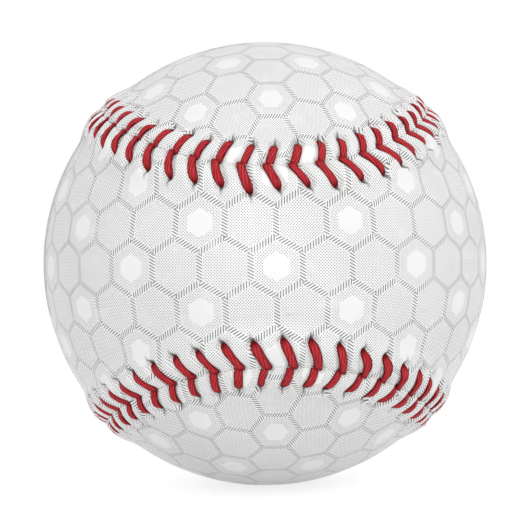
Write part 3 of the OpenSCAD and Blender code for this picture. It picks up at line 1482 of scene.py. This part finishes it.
@dataclass(frozen=True)
class YarnFinish:
    """Yarn wound on a ball, one turn over another in changing directions.

    Attributes:
        name: Name of the material.
        colour: Colour of the yarn.
        shadow: Colour between the turns.
        pitch: Distance between two turns.
        patch: Size of the patches that are wound one way.
        fluff: Size of the yarn's fluff.
        relief_share: Height of a turn, as a share of the pitch.
    """

    name: str
    colour: tuple[float, ...]
    shadow: tuple[float, ...]
    pitch: float
    patch: float = 9 * MM
    fluff: float = 0.25 * MM
    relief_share: float = 0.6

    def build(self) -> bpy.types.Material:
        """Builds the material.

        Returns:
            The finished material.
        """
        bench = Bench(self.name)
        place = bench.place()
        x, y, z = bench.axes(place)
        chance, _, _ = bench.axes(bench.cells(place, self.patch).outputs["Color"])
        wave = TAU / 2 / self.pitch
        ways = (x * 0.8 + y * 0.6, y * 0.5 + z * 0.866, z * 0.7 - x * 0.714)
        turns = [abs((way * wave).sine()) for way in ways]
        first, second = chance.below(0.33), chance.below(0.66)
        turn = turns[2] + second * (turns[1] - turns[2])
        turn = turn + first * (turns[0] - turn)
        fluff = bench.noise(place, self.fluff, 4.0)
        bench.set(Base_Color=bench.blend((1 - turn).ease(0.4, 1.0) * 0.8, self.colour, self.shadow))
        bench.bump(turn * 0.8 + fluff * 0.2, self.relief_share * self.pitch)
        bench.set(Roughness=0.8 + 0.15 * fluff, Specular_IOR_Level=0.2, Sheen_Weight=0.3)
        return bench.block


@dataclass(frozen=True)
class Cover:
    """The two panels and the thread that joins them.

    Attributes:
        seam: The curve that they meet in.
    """

    seam: SeamLine = SeamLine()

    def build(self) -> None:
        """Builds and dresses the panels and the thread."""
        face = LeatherFace(self.seam, StitchPlan(self.seam))
        leather = LeatherFinish().build()
        thread = ThreadFinish().build()
        for side in Side:
            ending = side.name.lower()
            panel = CoverPanel(side, face).build()
            finish_piece(panel, "leather", leather, f"cover_panel_{ending}")
            row = ThreadRow(side, face).build()
            finish_piece(row, "red_thread", thread, f"stitches_{ending}")


@dataclass(frozen=True)
class Inside:
    """The centre and the windings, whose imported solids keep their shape.

    Attributes:
        yarn_pitch: Distance between two turns of the wool.
        fine_pitch: Distance between two turns of the finishing yarn.
    """

    yarn_pitch: float = 1.1 * MM
    fine_pitch: float = 0.5 * MM

    def finishes(self) -> dict[str, bpy.types.Material]:
        """Makes the finishes.

        Returns:
            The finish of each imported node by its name.
        """
        cork = CorkFinish().build()
        black = RubberFinish("black_rubber", paint(0.028, 0.028, 0.03), paint(0.075, 0.075, 0.08)).build()
        red = RubberFinish("red_rubber", paint(0.5, 0.09, 0.07), paint(0.56, 0.2, 0.17)).build()
        grey, white, fine = (YarnFinish(*yarn).build() for yarn in (
            ("grey_wool", paint(0.4, 0.4, 0.41), paint(0.12, 0.12, 0.13), self.yarn_pitch),
            ("white_wool", paint(0.82, 0.8, 0.74), paint(0.35, 0.33, 0.3), self.yarn_pitch),
            ("finish_yarn", paint(0.86, 0.85, 0.81), paint(0.42, 0.41, 0.38), self.fine_pitch),
        ))
        return {
            "cork_core": cork,
            "inner_shell_upper": black,
            "inner_shell_lower": black,
            "shell_gasket": red,
            "pill_cup_upper": red,
            "pill_cup_lower": red,
            "wool_winding_first": grey,
            "wool_winding_second": white,
            "wool_winding_third": grey,
            "finish_winding": fine,
        }

    def build(self) -> None:
        """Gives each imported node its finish."""
        for name, material in self.finishes().items():
            dress(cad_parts[name], material)
            LOG.info("%s: dressed in %s", name, material.name)


@dataclass(frozen=True)
class Lamp:
    """A square studio lamp that faces the ball.

    Attributes:
        name: Its name.
        azimuth: Degrees to the right of the camera.
        elevation: Degrees above the floor.
        level: How brightly it lights a white face turned to it.
        distance: Its distance from the ball.
        size: Length of its side.
    """

    name: str
    azimuth: float
    elevation: float
    level: float
    distance: float = 0.6
    size: float = 0.5

    def build(self) -> None:
        """Adds the lamp."""
        turned, raised = math.radians(self.azimuth), math.radians(self.elevation)
        out = Vector((
            math.sin(turned) * math.cos(raised),
            -math.cos(turned) * math.cos(raised),
            math.sin(raised),
        ))
        light = bpy.data.lights.new(self.name, "AREA")
        light.size = self.size
        light.energy = self.level * (math.pi * self.distance) ** 2
        lamp = bpy.data.objects.new(self.name, light)
        lamp.location = self.distance * out
        lamp.rotation_euler = out.to_track_quat("Z", "Y").to_euler()
        lamp.visible_camera = False
        bpy.context.scene.collection.objects.link(lamp)
        LOG.info("%s: level %.2f", self.name, self.level)


@dataclass(frozen=True)
class Studio:
    """The floor, the light and the camera round the ball.

    Attributes:
        ball_r: Radius of the ball.
        world_level: How brightly the surroundings light a white face.
        floor_colour: Colour of the floor.
        floor_size: Side of the floor.
        glow: How much of the floor's white the camera sees everywhere.
        shadow_share: How much of the light and shadow on the floor it sees over that.
        camera_radii: Distance of the camera from the ball's centre, in ball radii.
        lens: Focal length of the camera in millimetres, on a 36 mm sensor.
        clip: Nearest and farthest distance that the camera shows.
        lowered: How far the camera is lowered, so that the ball stands a little high in the picture.
        turned: The ball's turn about X, Y and Z as the camera sees it, in degrees.
        lamps: The studio lamps.
        card_distance: Distance of the black card behind the ball.
        card_share: Radius of that card, as a share of its distance.
    """

    ball_r: float
    world_level: float = 0.6
    floor_colour: tuple[float, ...] = paint(0.9, 0.9, 0.9)
    floor_size: float = 6.0
    glow: float = 0.78
    shadow_share: float = 0.42
    camera_radii: float = 6.0
    lens: float = 89.0
    clip: tuple[float, ...] = (10 * MM, 20.0)
    lowered: float = 0.21 * MM
    turned: tuple[float, ...] = (0.66, -0.85, 2.56)
    lamps: tuple[Lamp, ...] = (
        Lamp("key_lamp", azimuth=10, elevation=50, level=0.24),
        Lamp("front_lamp", azimuth=-4, elevation=10, level=0.25, size=0.4),
        Lamp("side_lamp", azimuth=70, elevation=25, level=0.07),
        Lamp("rear_lamp", azimuth=180, elevation=12, level=0.25, size=0.25),
    )
    card_distance: float = 0.3
    card_share: float = 0.54

    def add_camera(self) -> None:
        """Adds the camera at the photograph's viewing angle."""
        turn = Vector([math.radians(part) for part in self.turned])
        seen = Matrix.Rotation(turn.length, 3, turn.normalized()).transposed()
        right, ahead, up = (seen @ Vector(axis) for axis in ((1, 0, 0), (0, 1, 0), (0, 0, 1)))
        place = -self.camera_radii * self.ball_r * ahead - self.lowered * up
        camera = bpy.data.objects.new("camera", bpy.data.cameras.new("camera"))
        camera.data.lens = self.lens
        camera.data.clip_start, camera.data.clip_end = self.clip
        rows = Matrix((right, up, -ahead)).transposed().to_4x4()
        camera.matrix_world = Matrix.Translation(place) @ rows
        bpy.context.scene.collection.objects.link(camera)
        bpy.context.scene.camera = camera

    def add_floor(self) -> None:
        """Adds the plain floor that the ball rests on."""
        floor = start_piece(bpy.ops.mesh.primitive_plane_add, "studio_floor", size=self.floor_size)
        write_points(floor, read_points(floor) + [0, 0, CAD_BOX[0].z])
        bench = Bench("floor_white")
        bench.set(Base_Color=self.floor_colour, Roughness=1.0, Specular_IOR_Level=0.0)
        glow = bench.add("ShaderNodeEmission", None, {"Color": paint(1, 1, 1), "Strength": self.glow})
        lit = bench.add("ShaderNodeBsdfDiffuse", None, {"Color": paint(*[self.shadow_share] * 3)})
        both = bench.add("ShaderNodeAddShader", None, {0: glow.outputs[0], 1: lit.outputs[0]})
        bench.show(both.outputs[0])
        dress(floor, bench.block)

    def add_card(self) -> None:
        """Adds the black card behind the ball, which only its gloss shows, as a dark line round its edge."""
        card = start_piece(
            bpy.ops.mesh.primitive_circle_add, "black_card",
            radius=self.card_share * self.card_distance, fill_type="NGON",
            location=(0, self.card_distance, 0), rotation=(TAU / 4, 0, 0),
        )
        bpy.ops.object.transform_apply()
        bench = Bench("black_card")
        bench.set(Base_Color=paint(0, 0, 0), Roughness=1.0, Specular_IOR_Level=0.0)
        dress(card, bench.block)
        card.visible_camera = False
        card.visible_diffuse = False
        card.visible_shadow = False

    def add_world(self) -> None:
        """Adds the even light, which the camera sees as white."""
        bench = Bench("studio", bpy.data.worlds)
        bpy.context.scene.world = bench.block
        bench.set(Color=paint(1, 1, 1), Strength=self.world_level)
        white = bench.add("ShaderNodeBackground", None, {"Color": paint(1, 1, 1), "Strength": 1.0})
        bench.show(white.outputs[0])

    def build(self) -> None:
        """Sets up the camera, the light and the floor."""
        self.add_camera()
        self.add_world()
        self.add_floor()
        self.add_card()
        for lamp in self.lamps:
            lamp.build()
        bpy.context.scene.view_settings.view_transform = "Standard"


def main() -> None:
    """Builds the ball's looks and its studio."""
    logging.basicConfig(level=logging.INFO, format="%(name)s: %(message)s")
    cover = Cover()
    Studio(cover.seam.ball_r).build()
    Inside().build()
    cover.build()


if __name__ == "__main__":
    main()
